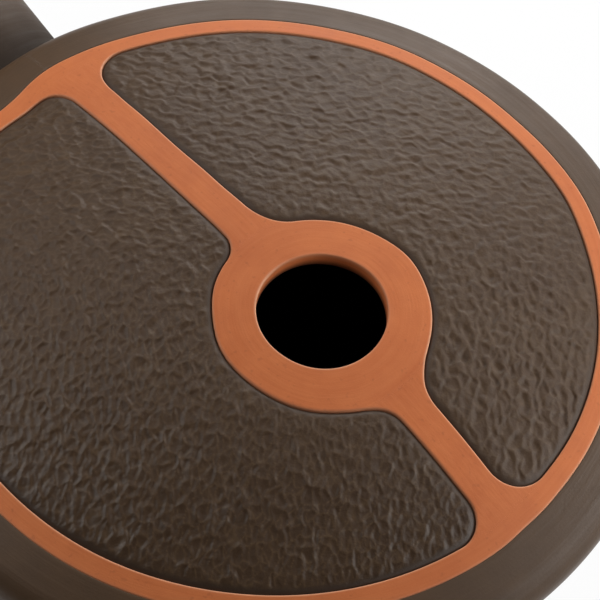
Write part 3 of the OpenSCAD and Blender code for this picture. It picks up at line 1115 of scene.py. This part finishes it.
def sum_of(tree, *terms):
    """Adds up values, each times its weight."""
    total = None
    for value, weight in terms:
        part = value_of(tree, "MULTIPLY", value, weight)
        total = part if total is None else value_of(tree, "ADD", total, part)
    return total


def span(tree, value, low, high, to_low=0.0, to_high=1.0):
    """Maps a value from one range to another, and holds it there."""
    return add(tree, "ShaderNodeMapRange", {
        "Value": value, "From Min": low, "From Max": high, "To Min": to_low, "To Max": to_high,
    }).outputs[0]


def cloudy(tree, where, scale, detail, rough=0.5):
    """A random field over the clay."""
    return add(tree, "ShaderNodeTexNoise", {
        "Vector": where, "Scale": scale, "Detail": detail, "Roughness": rough}).outputs["Fac"]


def group(name, takes, gives):
    """An empty node group with its named inputs and outputs."""
    tree = bpy.data.node_groups.new(name, "ShaderNodeTree")
    for label, kind, value in takes:
        socket = tree.interface.new_socket(label, in_out="INPUT", socket_type=kind)
        socket.default_value = value
    for label, kind in gives:
        tree.interface.new_socket(label, in_out="OUTPUT", socket_type=kind)
    inputs, outputs = tree.nodes.new("NodeGroupInput"), tree.nodes.new("NodeGroupOutput")
    return tree, inputs.outputs, outputs.inputs


def placed(tree, effect, **values):
    """Places a shared effect in a material, with its own values."""
    new = tree.nodes.new("ShaderNodeGroup")
    new.node_tree = effect
    for label, value in values.items():
        put(tree, new.inputs[label.replace("_", " ")], value)
    return new.outputs


FLOAT, COLOR = "NodeSocketFloat", "NodeSocketColor"


def grain_effect():
    """Fine grain of fired clay: a height for bump and a mask of sparse specks."""
    tree, takes, gives = group(
        "clay_grain", [("Grain per metre", FLOAT, 1500.0), ("Specks per metre", FLOAT, 420.0)],
        [("Height", FLOAT), ("Specks", FLOAT)])
    where = add(tree, "ShaderNodeTexCoord").outputs["Object"]
    specks = cloudy(tree, where, takes["Specks per metre"], 1.0)
    put(tree, gives["Height"], cloudy(tree, where, takes["Grain per metre"], 3.0, 0.6))
    put(tree, gives["Specks"], span(tree, specks, 0.66, 0.76))
    return tree


def drift_effect():
    """Slow drift of tone over a fired surface, around a middle colour."""
    tree, takes, gives = group(
        "tone_drift", [("Darker", COLOR, (0, 0, 0, 1)), ("Lighter", COLOR, (1, 1, 1, 1)),
                       ("Clouds per metre", FLOAT, 16.0), ("Mottles per metre", FLOAT, 90.0)],
        [("Color", COLOR), ("Mask", FLOAT)])
    where = add(tree, "ShaderNodeTexCoord").outputs["Object"]
    clouds = cloudy(tree, where, takes["Clouds per metre"], 3.0)
    mottles = cloudy(tree, where, takes["Mottles per metre"], 4.0, 0.6)
    mask = span(tree, sum_of(tree, (clouds, 0.55), (mottles, 0.45)), 0.34, 0.66)
    put(tree, gives["Color"], mixed(tree, mask, takes["Darker"], takes["Lighter"]))
    put(tree, gives["Mask"], mask)
    return tree


def rubbing_effect():
    """Faint long strokes of a rib, a brush or a burnishing stone along the clay's run."""
    tree, takes, gives = group(
        "tool_strokes", [("Across per metre", FLOAT, 700.0), ("Along per metre", FLOAT, 25.0)],
        [("Height", FLOAT), ("Mask", FLOAT)])
    run = add(tree, "ShaderNodeAttribute", attribute_name="brush").outputs["Vector"]
    parts = add(tree, "ShaderNodeSeparateXYZ", {0: run}).outputs
    scales = {"X": takes["Along per metre"], "Y": takes["Across per metre"],
              "Z": takes["Across per metre"]}
    where = add(tree, "ShaderNodeCombineXYZ", {
        axis: value_of(tree, "MULTIPLY", parts[axis], scale) for axis, scale in scales.items()})
    strokes = cloudy(tree, where.outputs[0], 1.0, 3.0, 0.55)
    put(tree, gives["Height"], strokes)
    put(tree, gives["Mask"], span(tree, strokes, 0.35, 0.7))
    return tree


GRAIN = grain_effect()
DRIFT = drift_effect()
RUBBING = rubbing_effect()


def mark(tree, name):
    return add(tree, "ShaderNodeAttribute", attribute_name=name).outputs["Fac"]


def new_finish(name):
    material = bpy.data.materials.new(name)
    material.use_nodes = True
    tree = material.node_tree
    return material, tree, tree.nodes["Principled BSDF"]


def tinted(tree, color, mask, share, tint):
    """A colour with a share of a tint over it, where the mask is."""
    return mixed(tree, sum_of(tree, (mask, share)), color, tint)


def shaded(tree, color):
    """The same clay painted dark, as painted shade inside the pot and round the neck's root."""
    return mixed(tree, mark(tree, "painted_shade"), color, SHADE)


def surface(tree, body, color, rough, relief, strength, depth, shine):
    """Gives a finish its colour, roughness, fine relief and shine."""
    bump = add(tree, "ShaderNodeBump", {"Height": relief, "Strength": strength, "Distance": depth})
    put(tree, body.inputs["Base Color"], color)
    put(tree, body.inputs["Roughness"], rough)
    put(tree, body.inputs["Normal"], bump.outputs[0])
    put(tree, body.inputs["Specular IOR Level"], shine)


def bare_clay():
    """Smooth unglazed terracotta."""
    material, tree, body = new_finish("bare_clay")
    drift = placed(tree, DRIFT, **CLAY)
    grain = placed(tree, GRAIN)
    strokes = placed(tree, RUBBING)
    color = tinted(tree, drift["Color"], strokes["Mask"], 0.2, CLAY_STROKES)
    color = tinted(tree, color, grain["Specks"], 0.35, CLAY_SPECKS)
    # Painted highlight along the edges of the bare clay
    color = tinted(tree, color, mark(tree, "edge_highlight"), 0.75, CLAY_HIGHLIGHT)
    rough = sum_of(tree, (drift["Mask"], 0.5), (grain["Height"], 0.5))
    rough = span(tree, rough, 0.2, 0.8, 0.5, 0.66)
    relief = sum_of(tree, (grain["Height"], 0.35), (strokes["Height"], 0.65))
    surface(tree, body, shaded(tree, color), rough, relief,
            strength=0.25, depth=0.0006, shine=0.26)
    return material


def dark_slip():
    """Dark slip, burnished by hand to a low sheen."""
    material, tree, body = new_finish("dark_slip")
    drift = placed(tree, DRIFT, **SLIP)
    grain = placed(tree, GRAIN, Grain_per_metre=900.0)
    strokes = placed(tree, RUBBING, Across_per_metre=380.0, Along_per_metre=18.0)
    color = tinted(tree, drift["Color"], strokes["Mask"], 0.15, SLIP_STROKES)
    rough = sum_of(tree, (drift["Mask"], 0.4), (strokes["Mask"], 0.6))
    rough = span(tree, rough, 0.1, 0.9, 0.5, 0.36)
    # The painted shade is made matte as well
    rough = sum_of(tree, (rough, 1.0), (mark(tree, "painted_shade"), 0.45))
    relief = sum_of(tree, (grain["Height"], 0.4), (strokes["Height"], 0.6))
    surface(tree, body, shaded(tree, color), rough, relief,
            strength=0.3, depth=0.0006, shine=0.285)
    return material


def dark_inlay():
    """Dark clay worked all over with a round tool, its crests painted a little lighter, as wear and
    as a painted sheen.
    """
    material, tree, body = new_finish("dark_inlay")
    drift = placed(tree, DRIFT, **INLAY)
    grain = placed(tree, GRAIN, Grain_per_metre=1100.0)
    # Painted shade over a panel's near half, which is also made shinier below
    color = tinted(tree, drift["Color"], mark(tree, "painted_near_shade"), 0.5, INLAY_NEAR_SHADE)
    # Crests painted lighter: partly wear, partly a painted sheen
    color = tinted(tree, color, mark(tree, "crest"), 0.5, INLAY_WEAR_AND_SHEEN)
    # A painted grey sheen on the smooth margins
    color = tinted(tree, color, mark(tree, "margin"), 0.35, INLAY_MARGIN_SHEEN)
    rough = sum_of(tree, (span(tree, mark(tree, "crest"), 0, 1, 0.5, 0.42), 1),
                   (mark(tree, "painted_near_shade"), -0.13))
    surface(tree, body, color, rough, grain["Height"],
            strength=0.3, depth=0.0005, shine=0.285)
    return material


# Camera, light and floor
CAMERA_AT = (-0.3099, -0.3010, 0.7823)
CAMERA_LOOKS_AT = (-0.00097, -0.02022, 0.160)
CAMERA_ROLL = 8.016
CAMERA_LENS = 114.8
# Name, place and size in metres, power in watts
LAMPS = [
    ("near_back", (0.335, 0.304, 0.341), 0.35, 1.1),
    ("near_right", (0.304, -0.335, 0.341), 0.35, 1.38),
    ("near_left", (-0.304, 0.335, 0.341), 0.35, 0.96),
    ("low_back", (0.917, 0.197, 0.472), 0.6, 2.31),
    ("low_right", (0.197, -0.917, 0.472), 0.6, 1.67),
    ("high_left", (-0.135, 0.627, 0.896), 0.6, 2.0),
    ("high_right", (0.611, -0.197, 0.896), 0.6, 1.22),
]
LAMPS_AIM = (0, 0, 0.1)
WHITE = (1, 1, 1, 1)
ROOM_LIGHT = 0.06
PAPER_HALF = 4.0
PAPER_TONE = (0.85, 0.85, 0.85, 1)
PAPER_GLOW = 0.93


def aimed(thing, place, aim):
    """Puts a camera or a lamp at a place and turns it towards another."""
    thing.location = place
    thing.rotation_mode = "QUATERNION"
    thing.rotation_quaternion = (Vector(aim) - thing.location).to_track_quat("-Z", "Y")
    return thing


def set_camera():
    data = bpy.data.cameras.new("photo_view")
    data.lens = CAMERA_LENS
    data.sensor_width = 36.0
    data.clip_start, data.clip_end = 0.05, 20
    camera = aimed(stood("photo_view", data), CAMERA_AT, CAMERA_LOOKS_AT)
    camera.rotation_quaternion @= Quaternion((0, 0, 1), math.radians(CAMERA_ROLL))
    bpy.context.scene.camera = camera


def set_lamp(name, place, size, power):
    data = bpy.data.lights.new(name, "AREA")
    data.shape = "SQUARE"
    data.size = size
    data.energy = power
    aimed(stood(name, data), place, LAMPS_AIM)


def blend(tree, factor, a, b):
    """A surface or a light between a and b."""
    return add(tree, "ShaderNodeMixShader", {0: factor, 1: a.outputs[0], 2: b.outputs[0]})


def emptied(holder):
    """The nodes of a world or a material, with none left in them."""
    holder.use_nodes = True
    holder.node_tree.nodes.clear()
    return holder.node_tree


def set_stage():
    """A white room that gives a soft light, and white paper under the drum."""
    world = bpy.data.worlds.new("studio")
    bpy.context.scene.world = world
    tree = emptied(world)
    soft = add(tree, "ShaderNodeBackground", {"Color": WHITE, "Strength": ROOM_LIGHT})
    white = add(tree, "ShaderNodeBackground", {"Color": WHITE, "Strength": 1.0})
    rays = add(tree, "ShaderNodeLightPath").outputs
    room = blend(tree, rays["Is Camera Ray"], soft, white)
    add(tree, "ShaderNodeOutputWorld", {0: room.outputs[0]})

    paper = bpy.data.materials.new("white_paper")
    tree = emptied(paper)
    rays = add(tree, "ShaderNodeLightPath").outputs
    matte = add(tree, "ShaderNodeBsdfDiffuse", {"Color": PAPER_TONE})
    glow = add(tree, "ShaderNodeEmission", {"Color": WHITE, "Strength": 1.0})
    # The camera, a gloss or a glass sees the paper glow, and other light sees it matte
    mirrored = value_of(tree, "MAXIMUM", rays["Is Glossy Ray"], rays["Is Transmission Ray"])
    seen = value_of(tree, "MAXIMUM", rays["Is Camera Ray"], mirrored)
    sheet = blend(tree, value_of(tree, "MULTIPLY", seen, PAPER_GLOW), matte, glow)
    # Seen from below, the paper is clear, so that the pot's underside shows
    behind = add(tree, "ShaderNodeNewGeometry").outputs["Backfacing"]
    below = value_of(tree, "MULTIPLY", behind, rays["Is Camera Ray"])
    sheet = blend(tree, below, sheet, add(tree, "ShaderNodeBsdfTransparent"))
    add(tree, "ShaderNodeOutputMaterial", {0: sheet.outputs[0]})

    mesh = bpy.data.meshes.new("floor")
    corners = [(x * PAPER_HALF, y * PAPER_HALF, 0) for x, y in ((-1, -1), (1, -1), (1, 1), (-1, 1))]
    mesh.from_pydata(corners, [], [(0, 1, 2, 3)])
    mesh.materials.append(paper)
    floor = stood("floor", mesh)


# Making the scene
terracotta, slip, inlay = bare_clay(), dark_slip(), dark_inlay()
bare_face_pieces(terracotta)
dark_panel(-1, "panel_left", "inlay_left", inlay)
dark_panel(1, "panel_right", "inlay_right", inlay)
shoulder(slip)
bowl(slip)
foot(terracotta)
neck_tube(slip)
lip(slip)
root_fillet(slip)
inside_coil("joint_coil", "body_seam_coil", SIDE_C, SIDE_R,
            turn_on_side(SEAM_LOW, SIDE_R - WALL), terracotta)
inside_coil("face_coil", "face_seam_coil", DOME_C, DOME_R,
            turn_on_dome(RING_R - LEDGE_W, DOME_R - WALL), terracotta)

set_camera()
set_stage()
for lamp in LAMPS:
    set_lamp(*lamp)

scene = bpy.context.scene
scene.view_settings.view_transform = "Standard"
